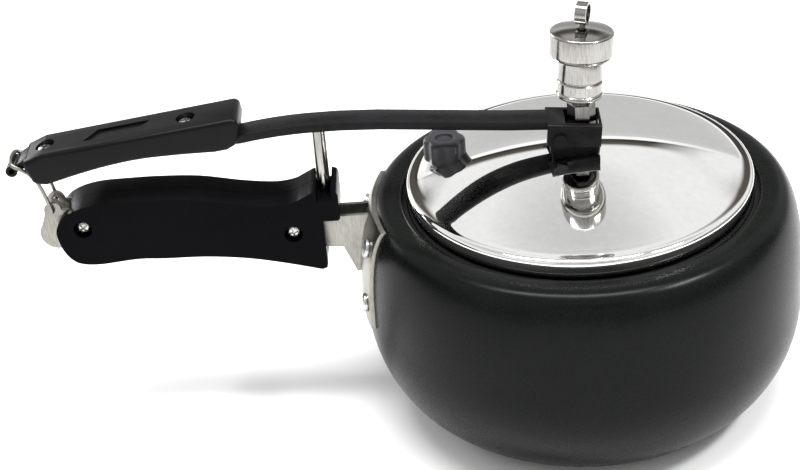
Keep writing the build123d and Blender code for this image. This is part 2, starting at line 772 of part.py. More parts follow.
def vent_nut():
    """Nut that pulls the vent, the lug and the lid together."""
    top = under_lid_stack(vent_x, 0) - washer_h - 0.02
    nut = hex_prism(vent_x, 0, top - vent_nut_h, top, vent_nut_af)
    return nut - rod(vent_x, 0, top - 10, top + 1, vent_shank_r + 0.05)


# ---- safety valve ----

def valve_seat_z():
    """Level on which the safety valve's flange rests on the lid."""
    spots = [(valve_x + valve_flange_r * math.cos(a), valve_y + valve_flange_r * math.sin(a)) for a in
             [math.pi * i / 8 for i in range(16)]]
    return max(crest_under(sx, sy) for sx, sy in spots) + lid_wall + 0.02


def safety_valve_body():
    """Flanged hollow stem of the safety valve."""
    seat = valve_seat_z()
    low = lid_edge_z - lid_wall - valve_nut_h - 4
    solid = rod(valve_x, valve_y, seat, seat + valve_flange_h, valve_flange_r - 1)
    solid += rod(valve_x, valve_y, low, seat + 1, valve_stem_r)
    solid += rod(valve_x, valve_y, seat, seat + valve_flange_h + 4, valve_stem_r)
    return solid - rod(valve_x, valve_y, low - 1, seat + valve_flange_h + 5, plug_r + 0.05)


def fusible_plug():
    """Low-melting plug in the valve's bore."""
    seat = valve_seat_z()
    return rod(valve_x, valve_y, seat - 6, seat + valve_flange_h + 3, plug_r)


def safety_valve_cap():
    """Lobed rubber cap over the safety valve."""
    low = valve_seat_z() + valve_flange_h + 0.05
    cap = rod(valve_x, valve_y, low, low + valve_cap_h, valve_cap_r - 1.4)
    for i in range(valve_lobes):
        angle = 2 * math.pi * i / valve_lobes
        lobe = rod(valve_x + (valve_cap_r - 2.6) * math.cos(angle),
                   valve_y + (valve_cap_r - 2.6) * math.sin(angle), low + 1, low + valve_cap_h, 2.6)
        cap += lobe
    return cap - rod(valve_x, valve_y, low - 1, low + 4.1, valve_stem_r + 0.05)


def safety_valve_nut():
    """Nut under the lid that holds the safety valve."""
    top = min(crest_under(valve_x + 7 * math.cos(a), valve_y + 7 * math.sin(a)) for a in
              [math.pi * i / 8 for i in range(16)]) - 0.02
    nut = hex_prism(valve_x, valve_y, top - valve_nut_h, top, valve_nut_af)
    return nut - rod(valve_x, valve_y, top - 10, top + 1, valve_stem_r + 0.05)


# ---- weight ----

def weight_floor():
    """Underside of the weight, above the vent's hexagon."""
    return lug_top_z + vent_hex_h + weight_gap


def stem_top():
    """Top of the vent's stem, on which the weight sits."""
    return lug_top_z + vent_hex_h + vent_stem_h


def lean(solid):
    """Lean a piece of the weight about the top of the vent's stem, where it sits."""
    seat = Pos(vent_x, 0, stem_top())
    return seat * Rot(-weight_tip, weight_lean, 0) * seat.inverse() * solid


def head_top():
    """Top of the low dome on the head."""
    return weight_floor() + neck_h + head_h + head_dome


def weight_body():
    """Upper part of the weight: head and neck in one piece, bored for the vent's stem."""
    low = weight_floor() + sleeve_h
    shoulder = weight_floor() + neck_h
    head = rod(vent_x, 0, shoulder, shoulder + head_h, head_r)
    rims = head.edges().filter_by(GeomType.CIRCLE).sort_by(Axis.Z)
    head = fillet(rims[0], head_under_round)
    rims = head.edges().filter_by(GeomType.CIRCLE).sort_by(Axis.Z)
    head = fillet(rims[-1], head_round)
    neck = rod(vent_x, 0, low + groove_h, shoulder + 1, neck_r)
    neck = fillet(neck.edges().sort_by(Axis.Z)[0], 0.5)
    waist = rod(vent_x, 0, low, low + groove_h + 1, neck_r - 0.8)
    rim = head_r - head_round
    dome_r = (rim ** 2 + head_dome ** 2) / (2 * head_dome)
    dome = Pos(vent_x, 0, head_top() - dome_r) * Sphere(dome_r)
    dome &= rod(vent_x, 0, shoulder + head_h - 0.5, head_top() + 1, rim)
    solid = head + neck + waist + dome
    solid -= rod(vent_x, 0, low - 1, stem_top() + 0.4, vent_stem_r + weight_bore_clear)
    solid -= rod(vent_x, 0, low - 1, needle_top(), needle_r + 0.03)
    solid -= rod(vent_x, 0, head_top() - ring_peg_sink - 0.1, head_top() + 1, ring_peg_r + 0.02)
    return lean(solid)


def needle_top():
    """Top of the hole for the needle, in the head."""
    return weight_floor() + neck_h + head_h - 3.0


def weight_sleeve():
    """Lower sleeve of the weight, with a rounded lip below a fine groove."""
    low = weight_floor()
    sleeve = rod(vent_x, 0, low, low + sleeve_h, neck_r)
    sleeve = fillet(sleeve.edges().filter_by(GeomType.CIRCLE), 0.8)
    lip_top = low + 2.6
    sleeve -= rod(vent_x, 0, lip_top, lip_top + 0.5, neck_r + 1) - rod(vent_x, 0, 0, 400, neck_r - 0.5)
    return lean(sleeve - rod(vent_x, 0, low - 1, low + sleeve_h + 1, vent_stem_r + weight_bore_clear))


def weight_needle():
    """Needle inside the weight: its tip closes the vent's bore."""
    seat = stem_top() + 0.25
    needle = rod(vent_x, 0, seat, needle_top() - 0.1, needle_r)
    return lean(needle + rod(vent_x, 0, seat - 2.2, seat + 1, vent_bore_r - 0.4))


def lifting_ring():
    """Strip bent into a ring on a short peg in the top of the head."""
    top = head_top()
    centre = top + ring_peg_show + ring_r
    ring = Pos(vent_x, 0, centre) * Rot(0, 90, 0) * Cylinder(ring_r, ring_width)
    ring += rod(vent_x, 0, top - ring_peg_sink, centre - ring_r + ring_wall / 2, ring_peg_r)
    ring -= Pos(vent_x, 0, centre) * Rot(0, 90, 0) * Cylinder(ring_r - ring_wall, ring_width + 2)
    axis = Pos(vent_x, 0, 0)
    return lean(axis * Rot(0, 0, ring_turn) * axis.inverse() * ring)


PARTS = {
    "pot_body": pot_body,
    "pot_bracket": pot_bracket,
    "bracket_rivets": bracket_rivets,
    "body_handle_near": lambda: handle_half_solid(-1),
    "body_handle_far": lambda: handle_half_solid(1),
    "body_handle_screws": body_handle_screws,
    "body_handle_nuts": body_handle_nuts,
    "latch_bracket": latch_bracket,
    "latch_loop": latch_loop,
    "lever_bar": lever_bar,
    "support_post": support_post,
    "lid_grip": lid_grip,
    "grip_screws": grip_screws,
    "lid_shell": lid_shell,
    "sealing_ring": sealing_ring,
    "lid_lug": lid_lug,
    "lid_pin": lid_pin,
    "split_pin": split_pin,
    "vent_tube": vent_tube,
    "vent_washer": vent_washer,
    "vent_nut": vent_nut,
    "safety_valve_body": safety_valve_body,
    "safety_valve_cap": safety_valve_cap,
    "safety_valve_nut": safety_valve_nut,
    "fusible_plug": fusible_plug,
    "weight_body": weight_body,
    "weight_sleeve": weight_sleeve,
    "weight_needle": weight_needle,
    "lifting_ring": lifting_ring,
}

for node, make in PARTS.items():
    print(node, flush=True)
    export_step(make(), f"parts/{node}.step")
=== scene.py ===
import logging
import math
from dataclasses import dataclass
from enum import Enum
from typing import Callable, Dict, List, Optional, Sequence, Tuple

import bpy
from mathutils import Matrix, Vector


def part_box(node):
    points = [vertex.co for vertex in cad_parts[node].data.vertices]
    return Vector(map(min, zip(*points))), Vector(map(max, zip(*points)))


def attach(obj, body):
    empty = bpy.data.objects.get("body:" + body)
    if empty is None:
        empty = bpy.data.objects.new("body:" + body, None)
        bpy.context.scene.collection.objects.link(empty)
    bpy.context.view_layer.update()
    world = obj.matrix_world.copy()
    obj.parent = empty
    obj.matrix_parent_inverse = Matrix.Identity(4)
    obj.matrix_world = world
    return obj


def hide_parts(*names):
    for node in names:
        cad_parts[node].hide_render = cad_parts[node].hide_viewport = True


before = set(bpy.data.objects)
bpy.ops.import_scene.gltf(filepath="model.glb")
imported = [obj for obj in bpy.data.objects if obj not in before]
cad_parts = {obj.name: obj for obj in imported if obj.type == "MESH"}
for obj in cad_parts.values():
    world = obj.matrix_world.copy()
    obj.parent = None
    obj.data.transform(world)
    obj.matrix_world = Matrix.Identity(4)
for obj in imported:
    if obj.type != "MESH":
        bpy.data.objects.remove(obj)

log = logging.getLogger("cooker")

Point = Tuple[float, float]
Triple = Tuple[float, float, float]

MM = 0.001            # metres in a millimetre
MERGE = 0.000002      # corners nearer than this are one, in metres
NEAR = 0.01           # lengths that differ by less are the same, in millimetres


class Body(str, Enum):
    """The moving bodies of the cooker."""

    POT = "pot"
    LATCH = "latch"
    LEVER = "lever"
    LID = "lid"
    WEIGHT = "weight"


# ---------------------------------------------------------------- shading


class Wire:
    """A shader socket that takes part in Python expressions."""

    def __init__(self, sheet: "Sheet", socket: bpy.types.NodeSocket) -> None:
        """Wrap one output socket of a node sheet."""
        self.sheet = sheet
        self.socket = socket

    def _math(self, operation: str, other: object) -> "Wire":
        """Add a Math node for this socket and another value."""
        return self.sheet.node("ShaderNodeMath", {"operation": operation}, {0: self, 1: other})

    def __add__(self, other: object) -> "Wire":
        """Sum."""
        return self._math("ADD", other)

    __radd__ = __add__

    def __mul__(self, other: object) -> "Wire":
        """Product."""
        return self._math("MULTIPLY", other)

    __rmul__ = __mul__


class Sheet:
    """The node tree of one material or of the world."""

    def __init__(self, tree: bpy.types.NodeTree) -> None:
        """Take over an emptied node tree."""
        self.tree = tree

    def node(self, kind: str, settings: Optional[Dict[str, object]] = None,
             sockets: Optional[Dict[object, object]] = None, output: object = 0) -> Wire:
        """Add a node.

        Args:
            kind: the node's type.
            settings: the node's own properties, set before its sockets.
            sockets: values or wires by socket name or number.
            output: name or number of the output wanted.

        Returns:
            The chosen output, wrapped.
        """
        made = self.tree.nodes.new(kind)
        for key, value in (settings or {}).items():
            if key == "stops":
                ramp = made.color_ramp
                while len(ramp.elements) < len(value):
                    ramp.elements.new(1.0)
                for element, (place, shade) in zip(ramp.elements, value):
                    element.position = place
                    element.color = shade if len(shade) == 4 else (*shade, 1.0)
            else:
                setattr(made, key, value)
        for key, value in (sockets or {}).items():
            if isinstance(value, Wire):
                self.tree.links.new(value.socket, made.inputs[key])
            else:
                made.inputs[key].default_value = value
        return Wire(self, made.outputs[output])

    def place(self, scale: Triple) -> Wire:
        """Object coordinates scaled along each axis."""
        coords = self.node("ShaderNodeTexCoord", output="Object")
        return self.node("ShaderNodeMapping", sockets={"Vector": coords, "Scale": scale})

    def noise(self, scale: Triple, detail: float = 3.0) -> Wire:
        """Noise whose grain follows the scale along each axis.

        Args:
            scale: waves per metre along X, Y and Z.
            detail: how many finer layers it has.

        Returns:
            The noise, about 0.5 in the middle.
        """
        return self.node("ShaderNodeTexNoise", sockets={
            "Vector": self.place(scale), "Scale": 1.0, "Detail": detail, "Roughness": 0.6})

    def ramp(self, factor: Wire, stops: Sequence[Tuple[float, Tuple[float, ...]]]) -> Wire:
        """Colour ramp with the given stops."""
        return self.node("ShaderNodeValToRGB", {"stops": stops}, {0: factor})


@dataclass(frozen=True)
class Finish:
    """One finish of the cooker: a base shade with fine and broad grain, and relief.

    Attributes:
        name: material name.
        dark, light: the two base shades that the grain moves between.
        metallic: share of metal.
        smooth, rough: the two roughness limits that the grain moves between.
        grain: noise scale along X, Y and Z, per metre.
        relief: height of the bump, in metres.
        specular: reflection level of the surface.
        coat: clear layer over it.
    """

    name: str
    dark: Triple
    light: Triple
    metallic: float
    smooth: float
    rough: float
    grain: Triple
    relief: float
    specular: float = 0.5
    coat: float = 0.0

    def make(self) -> bpy.types.Material:
        """Build the material, once.

        Returns:
            The material of this finish.
        """
        found = bpy.data.materials.get(self.name)
        if found:
            return found
        material = bpy.data.materials.new(self.name)
        material.use_nodes = True
        material.node_tree.nodes.clear()
        sheet = Sheet(material.node_tree)
        fine = sheet.noise(self.grain, 4.0)
        broad = sheet.noise((38.0, 38.0, 38.0), 2.0)
        blend = fine * 0.6 + broad * 0.4
        colour = sheet.ramp(blend, [(0.32, self.dark), (0.68, self.light)])
        rough = sheet.node("ShaderNodeMapRange", sockets={
            "Value": blend, "From Min": 0.3, "From Max": 0.7, "To Min": self.smooth, "To Max": self.rough})
        bump = sheet.node("ShaderNodeBump", sockets={
            "Height": fine, "Strength": 1.0, "Distance": self.relief})
        shader = sheet.tree.nodes.new("ShaderNodeBsdfPrincipled")
        shader.inputs["Metallic"].default_value = self.metallic
        shader.inputs["Specular IOR Level"].default_value = self.specular
        shader.inputs["Coat Weight"].default_value = self.coat
        shader.inputs["Coat Roughness"].default_value = 0.08
        sheet.tree.links.new(colour.socket, shader.inputs["Base Color"])
        sheet.tree.links.new(rough.socket, shader.inputs["Roughness"])
        sheet.tree.links.new(bump.socket, shader.inputs["Normal"])
        out = sheet.tree.nodes.new("ShaderNodeOutputMaterial")
        sheet.tree.links.new(shader.outputs[0], out.inputs[0])
        log.info("finish %s", self.name)
        return material


class Finishes:
    """All the finishes, each under a short name."""

    anodised = Finish("hard_anodised", (0.0022, 0.0028, 0.0024), (0.0048, 0.0056, 0.0050), 0.0, 0.22, 0.32,
                      (900.0, 900.0, 900.0), 0.0000012, 0.09)
    mirror = Finish("mirror_polished_steel", (0.80, 0.80, 0.79), (0.88, 0.88, 0.87), 1.0, 0.015, 0.05,
                    (300.0, 300.0, 300.0), 0.0)
    satin = Finish("satin_steel_sheet", (0.17, 0.165, 0.145), (0.36, 0.35, 0.32), 1.0, 0.26, 0.42,
                   (2600.0, 260.0, 260.0), 0.000008)
    black_steel = Finish("blackened_steel_bar", (0.003, 0.003, 0.0035), (0.010, 0.010, 0.011), 0.0, 0.22, 0.38,
                         (220.0, 1400.0, 1400.0), 0.000008, 0.1)
    bakelite = Finish("glossy_bakelite", (0.0008, 0.0008, 0.0012), (0.0022, 0.0022, 0.0030), 0.0, 0.16, 0.26,
                      (700.0, 700.0, 700.0), 0.000003, 0.035)
    grip = Finish("fine_grained_bakelite", (0.0012, 0.0012, 0.0016), (0.0045, 0.0045, 0.0052), 0.0, 0.28, 0.42,
                  (3200.0, 3200.0, 3200.0), 0.000014, 0.12)
    rubber = Finish("seal_rubber", (0.003, 0.003, 0.003), (0.008, 0.008, 0.008), 0.0, 0.55, 0.75,
                    (900.0, 900.0, 900.0), 0.00002, 0.15)
    valve = Finish("valve_rubber", (0.002, 0.002, 0.0022), (0.006, 0.006, 0.007), 0.0, 0.26, 0.42,
                   (1100.0, 1100.0, 1100.0), 0.00001, 0.1)
    chrome = Finish("polished_chrome", (0.20, 0.195, 0.18), (0.46, 0.45, 0.43), 1.0, 0.10, 0.22,
                    (2400.0, 2400.0, 130.0), 0.000002)
    screw = Finish("bright_zinc", (0.40, 0.40, 0.39), (0.68, 0.68, 0.66), 1.0, 0.18, 0.34,
                   (1800.0, 1800.0, 1800.0), 0.000006)
    brass = Finish("turned_brass", (0.42, 0.30, 0.12), (0.62, 0.47, 0.22), 1.0, 0.2, 0.36,
                   (900.0, 900.0, 2600.0), 0.000006)
    tin = Finish("cast_tin_alloy", (0.42, 0.42, 0.43), (0.62, 0.62, 0.63), 1.0, 0.4, 0.6,
                 (1500.0, 1500.0, 1500.0), 0.00002)


# ---------------------------------------------------------------- workbench


class Bench:
    """Modelling moves shared by all the sub-assemblies. Lengths are in millimetres."""

    @staticmethod
    def clear() -> None:
        """Leave edit mode and deselect everything."""
        if bpy.context.mode != "OBJECT":
            bpy.ops.object.mode_set(mode="OBJECT")
        bpy.ops.object.select_all(action="DESELECT")

    @staticmethod
    def focus(piece: bpy.types.Object) -> None:
        """Make one piece the only selected and active one."""
        Bench.clear()
        piece.select_set(True)
        bpy.context.view_layer.objects.active = piece

    @staticmethod
    def settle(piece: bpy.types.Object) -> bpy.types.Object:
        """Put the piece's place into its mesh and leave its object at the origin.

        Args:
            piece: the piece.

        Returns:
            The same piece.
        """
        Bench.focus(piece)
        bpy.ops.object.transform_apply(location=True, rotation=True, scale=True)
        return piece

    @staticmethod
    def loop(name: str, points: Sequence[Triple], filled: bool) -> bpy.types.Object:
        """A closed outline: a ring of corners, each moved to its point.

        Args:
            name: name of the piece.
            points: the corners in order, in millimetres.
            filled: whether it has a face.

        Returns:
            The outline.
        """
        Bench.clear()
        bpy.ops.mesh.primitive_circle_add(vertices=len(points), radius=0.01,
                                          fill_type="NGON" if filled else "NOTHING")
        piece = bpy.context.active_object
        piece.name = name
        piece.data.name = name
        for vertex, point in zip(piece.data.vertices, points):
            vertex.co = Vector(point) * MM
        return piece

    @staticmethod
    def tidy(piece: bpy.types.Object, angle: float = 35.0) -> bpy.types.Object:
        """Merge doubles, turn the faces outwards and smooth all but sharp edges.

        Args:
            piece: the piece.
            angle: edges sharper than this, in degrees, stay sharp.

        Returns:
            The same piece.
        """
        Bench.focus(piece)
        bpy.ops.object.mode_set(mode="EDIT")
        bpy.ops.mesh.select_all(action="SELECT")
        bpy.ops.mesh.remove_doubles(threshold=MERGE)
        bpy.ops.mesh.delete_loose(use_verts=True, use_edges=True, use_faces=False)
        bpy.ops.mesh.select_all(action="SELECT")
        bpy.ops.mesh.normals_make_consistent(inside=False)
        bpy.ops.object.mode_set(mode="OBJECT")
        bpy.ops.object.shade_smooth_by_angle(angle=math.radians(angle))
        return piece

    @staticmethod
    def turned(name: str, profile: Sequence[Point], x: float = 0.0, y: float = 0.0,
               steps: int = 96) -> bpy.types.Object:
        """A turned piece.

        Args:
            name: name of the piece.
            profile: closed outline as radius and height.
            x, y: place of the upright axis.
            steps: number of steps round.

        Returns:
            The piece, closed and smooth.
        """
        piece = Bench.loop(name, [(x + r, y, z) for r, z in profile], filled=False)
        Bench.focus(piece)
        bpy.ops.object.mode_set(mode="EDIT")
        bpy.ops.mesh.select_all(action="SELECT")
        bpy.ops.mesh.spin(steps=steps, angle=2 * math.pi, center=(x * MM, y * MM, 0), axis=(0, 0, 1))
        bpy.ops.object.mode_set(mode="OBJECT")
        return Bench.tidy(piece)

    @staticmethod
    def slab(name: str, outline: Sequence[Point], y0: float, y1: float) -> bpy.types.Object:
        """A side outline in X and Z, extruded across.

        Args:
            name: name of the piece.
            outline: corners as X and Z.
            y0: where it starts.
            y1: where it ends.

        Returns:
            The closed piece.
        """
        piece = Bench.loop(name, [(x, y0, z) for x, z in outline], filled=True)
        Bench.focus(piece)
        bpy.ops.object.mode_set(mode="EDIT")
        bpy.ops.mesh.select_all(action="SELECT")
        bpy.ops.mesh.extrude_region_move(TRANSFORM_OT_translate={"value": (0, (y1 - y0) * MM, 0)})
        bpy.ops.mesh.select_all(action="SELECT")
        bpy.ops.mesh.normals_make_consistent(inside=False)
        bpy.ops.object.mode_set(mode="OBJECT")
        return piece

    @staticmethod
    def bevel_where(piece: bpy.types.Object, test: Callable[[Vector, Vector], bool], width: float,
                    segments: int = 4) -> None:
        """Bevel the edges that a test on their two ends picks out.

        Args:
            piece: the piece.
            test: takes the two ends in millimetres and says whether to bevel.
            width: width of the bevel.
            segments: facets across it.
        """
        Bench.focus(piece)
        bpy.ops.object.mode_set(mode="EDIT")
        bpy.ops.mesh.select_mode(type="EDGE")
        bpy.ops.mesh.select_all(action="DESELECT")
        bpy.ops.object.mode_set(mode="OBJECT")
        mesh = piece.data
        for edge in mesh.edges:
            a, b = (mesh.vertices[i].co / MM for i in edge.vertices)
            edge.select = test(a, b)
        bpy.ops.object.mode_set(mode="EDIT")
        bpy.ops.mesh.bevel(offset=width * MM, segments=segments, affect="EDGES", clamp_overlap=True)
        bpy.ops.object.mode_set(mode="OBJECT")

    @staticmethod
    def block(name: str, low: Triple, high: Triple) -> bpy.types.Object:
        """A block between two corners, used as a cutting tool.

        Args:
            name: name of the piece.
            low: lowest corner.
            high: highest corner.

        Returns:
            The block.
        """
        Bench.clear()
        middle = [(a + b) / 2 * MM for a, b in zip(low, high)]
        bpy.ops.mesh.primitive_cube_add(size=1.0, location=middle)
        piece = bpy.context.active_object
        piece.name = name
        piece.scale = [(b - a) * MM for a, b in zip(low, high)]
        return Bench.settle(piece)

    @staticmethod
    def rod(name: str, start: Triple, end: Triple, radius: float,
            sides: int = 40) -> bpy.types.Object:
        """A round rod between two points, used as a cutting tool or a peg.

        Args:
            name: name of the piece.
            start: middle of one end.
            end: middle of the other end.
            radius: its radius.
            sides: facets round it.

        Returns:
            The rod.
        """
        Bench.clear()
        a, b = Vector(start) * MM, Vector(end) * MM
        bpy.ops.mesh.primitive_cylinder_add(vertices=sides, radius=radius * MM, depth=(b - a).length,
                                            location=(a + b) / 2)
        piece = bpy.context.active_object
        piece.name = name
        piece.rotation_mode = "QUATERNION"
        piece.rotation_quaternion = (b - a).to_track_quat("Z", "Y")
        return Bench.settle(piece)

    @staticmethod
    def cut(piece: bpy.types.Object, tool: bpy.types.Object, operation: str = "DIFFERENCE") -> None:
        """Cut a piece with a tool, or join the tool to it, and clear the tool away.

        Args:
            piece: the piece.
            tool: the tool, which is removed.
            operation: DIFFERENCE to cut, UNION to join.
        """
        Bench.focus(piece)
        modifier = piece.modifiers.new("cut", "BOOLEAN")
        modifier.operation = operation
        modifier.solver = "EXACT"
        modifier.object = tool
        bpy.ops.object.modifier_apply(modifier=modifier.name)
        bpy.data.objects.remove(tool)

    @staticmethod
    def wire(name: str, points: Sequence[Triple], radius: float) -> bpy.types.Object:
        """A bent round wire along the points, with soft corners.

        Args:
            name: name of the piece.
            points: where the wire turns.
            radius: radius of the wire.

        Returns:
            The wire, as a mesh.
        """
        Bench.clear()
        curve = bpy.data.curves.new(name, "CURVE")
        curve.dimensions = "3D"
        curve.bevel_depth = radius * MM
        curve.bevel_resolution = 5
        curve.resolution_u = 8
        curve.use_fill_caps = True
        spline = curve.splines.new("NURBS")
        spline.points.add(len(points) - 1)
        for spot, point in zip(spline.points, points):
            spot.co = (*(Vector(point) * MM), 1.0)
        spline.order_u = 3
        spline.use_endpoint_u = True
        piece = bpy.data.objects.new(name, curve)
        bpy.context.scene.collection.objects.link(piece)
        Bench.focus(piece)
        bpy.ops.object.convert(target="MESH")
        piece = bpy.context.active_object
        return Bench.tidy(piece, 50.0)

    @staticmethod
    def softened(node: str, name: str, width: float, segments: int = 3, angle: float = 32.0) -> bpy.types.Object:
        """A copy of a CAD shape with its sharp edges broken.

        Args:
            node: the CAD node.
            name: name of the new piece.
            width: width of the broken edge.
            segments: facets across it.
            angle: edges sharper than this, in degrees, are broken.

        Returns:
            The new piece.
        """
        Bench.clear()
        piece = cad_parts[node].copy()
        piece.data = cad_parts[node].data.copy()
        piece.name = name
        piece.parent = None
        piece.matrix_world = Matrix.Identity(4)
        bpy.context.scene.collection.objects.link(piece)
        Bench.focus(piece)
        bpy.ops.object.mode_set(mode="EDIT")
        bpy.ops.mesh.select_all(action="SELECT")
        bpy.ops.mesh.remove_doubles(threshold=MERGE)
        bpy.ops.mesh.dissolve_limited(angle_limit=math.radians(1.5))
        bpy.ops.object.mode_set(mode="OBJECT")
        edge = piece.modifiers.new("edge", "BEVEL")
        edge.width = width * MM
        edge.segments = segments
        edge.limit_method = "ANGLE"
        edge.angle_limit = math.radians(angle)
        edge.use_clamp_overlap = True
        bpy.ops.object.modifier_apply(modifier=edge.name)
        bpy.ops.object.shade_smooth_by_angle(angle=math.radians(34))
        return piece

    @staticmethod
    def dress(piece: bpy.types.Object, finish: Finish) -> bpy.types.Object:
        """Give a piece its finish.

        Args:
            piece: the piece.
            finish: its finish.

        Returns:
            The same piece.
        """
        piece.data.materials.clear()
        piece.data.materials.append(finish.make())
        return piece

    @staticmethod
    def hand_over(piece: bpy.types.Object, body: Body, slot: str, *nodes: str) -> None:
        """Let a piece ride on its body and stand for its nodes.

        Args:
            piece: the piece.
            body: the body that it moves with.
            slot: the material slot, which is not used.
            nodes: the CAD nodes that it stands for.
        """
        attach(piece, body.value)
        if nodes:
            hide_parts(*nodes)
        log.info("piece %s rides on %s", piece.name, body.value)


def arc(cx: float, cz: float, radius: float, start: float, end: float, steps: int = 6) -> List[Point]:
    """Points on an arc, ends included.

    Args:
        cx: first coordinate of the middle.
        cz: second coordinate of the middle.
        radius: its radius.
        start: first angle, in degrees.
        end: last angle, in degrees.
        steps: number of spans.

    Returns:
        The points.
    """
    return [(cx + radius * math.cos(math.radians(start + (end - start) * i / steps)),
             cz + radius * math.sin(math.radians(start + (end - start) * i / steps)))
            for i in range(steps + 1)]


def smooth_line(points: Sequence[Point], per_span: int = 5) -> List[Point]:
    """A smooth line through points, ends included.

    Args:
        points: the points that it passes.
        per_span: spans between two of them.

    Returns:
        The points of the line.
    """
    ends = [points[0], *points, points[-1]]
    line = []
    for i in range(1, len(ends) - 2):
        p0, p1, p2, p3 = ends[i - 1], ends[i], ends[i + 1], ends[i + 2]
        for step in range(per_span):
            t = step / per_span
            line.append(tuple(
                0.5 * (2 * p1[k] + (p2[k] - p0[k]) * t + (2 * p0[k] - 5 * p1[k] + 4 * p2[k] - p3[k]) * t ** 2
                       + (3 * p1[k] - p0[k] - 3 * p2[k] + p3[k]) * t ** 3) for k in (0, 1)))
    line.append(tuple(points[-1]))
    return line


# ---------------------------------------------------------------- sub-assemblies


@dataclass
class Pot:
    """The round-bellied pot."""

    base_r: float = 62.0
    belly_r: float = 106.0
    belly_z: float = 56.0
    height: float = 112.0
    lip_outer_r: float = 91.5
    mouth_r: float = 85.0
    wall: float = 3.25
    power: float = 2.6
    base_dish: float = 0.6
    base_ring: Tuple[float, float] = (9.0, 7.0)

    def outside(self, inward: float) -> List[Point]:
        """The outline from the base to the lip.

        Args:
            inward: how far it is moved inwards.

        Returns:
            The outline as radius and height.
        """
        line = []
        for i in range(17):
            a = math.pi / 2 * i / 16
            line.append((self.base_r + (self.belly_r - self.base_r - inward) * math.sin(a),
                         self.belly_z - (self.belly_z - inward) * math.cos(a)))
        for i in range(1, 25):
            share = math.sin(math.pi / 2 * i / 24)
            width = max(0.0, 1 - share ** self.power) ** (1 / self.power)
            line.append((self.lip_outer_r + (self.belly_r - self.lip_outer_r - inward) * width,
                         self.belly_z + (self.height - self.belly_z - inward) * share))
        return line

    def build(self) -> None:
        """Spin the wall and hand it over."""
        outer = self.outside(0.0)
        inner = self.outside(self.wall)
        lip_z = self.height - self.wall / 2
        lip = arc(self.mouth_r + self.wall / 2, lip_z, self.wall / 2, 90, 270, 8)
        inside_ring, outside_ring = (self.base_r - width for width in self.base_ring)
        base = [(0.0, self.base_dish), (inside_ring, self.base_dish), (outside_ring, 0.0)]
        profile = base + outer + lip + list(reversed(inner)) + [(0.0, self.wall)]
        piece = Bench.turned("pot_wall", profile, steps=160)
        Bench.dress(piece, Finishes.anodised)
        Bench.hand_over(piece, Body.POT, "anodised", "pot_body")


@dataclass
class Lid:
    """The pressed lid with its long ridge.

    Attributes:
        radius, edge_z, wall: the raised disc and its sheet.
        edge_round: radius of the disc's edge.
        ridge, half: height and half length of the ridge.
        crest_round, crest_least: how softly the crest is rounded in the middle and at its ends.
        foot_r, foot_soft: radius where the pressed slopes end, and how softly.
        fade: width over which the pressing dies out inside the edge.
        flange_r, flange_z: the flange under the pot's lip.
    """

    radius: float = 82.3
    edge_z: float = 120.0
    wall: float = 1.8
    ridge: float = 14.5
    half: float = 78.0
    crest_round: float = 10.0
    foot_r: float = 77.5
    flange_r: float = 91.4
    flange_z: float = 105.25
    edge_round: float = 2.4
    crest_least: float = 0.4
    foot_soft: float = 0.3
    fade: float = 5.0

    def rise(self, x: float, y: float) -> float:
        """Height of the pressed top over its edge at a place.

        Args:
            x: place along the ridge.
            y: place across it.

        Returns:
            The height, never below the edge.
        """
        big = (self.half ** 2 + self.ridge ** 2) / (2 * self.ridge)
        arch = math.sqrt(big ** 2 - x * x) - (big - self.ridge)
        reach = math.sqrt(max(1.0, self.foot_r ** 2 - x * x))
        soft = self.crest_least + self.crest_round * max(0.0, arch) / self.ridge
        away = math.sqrt(y * y + soft ** 2) - soft
        full = math.sqrt(reach * reach + soft ** 2) - soft
        level = arch * (1.0 - away / full) if abs(x) < self.foot_r else min(arch, 0.0)
        return max(0.0, 0.5 * (level + math.sqrt(level * level + self.foot_soft)) - 0.1)

    def build(self) -> None:
        """Spin the disc, press the ridge into it and hand it over."""
        rim = self.radius - self.edge_round
        rings = [(rim * i / 64, self.edge_z) for i in range(65)]
        corner = arc(rim, self.edge_z - self.edge_round, self.edge_round, 90, 0, 6)[1:]
        low = self.flange_z
        skirt = [(self.radius, low + 1.0), (self.radius + 0.8, low), (self.flange_r, low),
                 (self.flange_r, low - self.wall), (self.radius - 0.6, low - self.wall),
                 (self.radius - self.wall, low)]
        under = [(self.radius - self.wall, self.edge_z - 3.4), (rim - 1.0, self.edge_z - self.wall)]
        below = [(rim * i / 32, self.edge_z - self.wall) for i in range(31, -1, -1)]
        piece = Bench.turned("pressed_lid", rings + corner + skirt + under + below, steps=192)
        for vertex in piece.data.vertices:
            x, y, z = vertex.co / MM
            if z > self.edge_z - 2.5 and math.hypot(x, y) < rim + 0.1:
                fade = min(1.0, max(0.0, (rim - math.hypot(x, y)) / self.fade))
                fade = fade * fade * (3 - 2 * fade)
                vertex.co.z += self.rise(x, y) * fade * MM
        piece.data.update()
        Bench.focus(piece)
        bpy.ops.object.shade_smooth_by_angle(angle=math.radians(30))
        Bench.dress(piece, Finishes.mirror)
        Bench.hand_over(piece, Body.LID, "mirror_steel", "lid_shell")


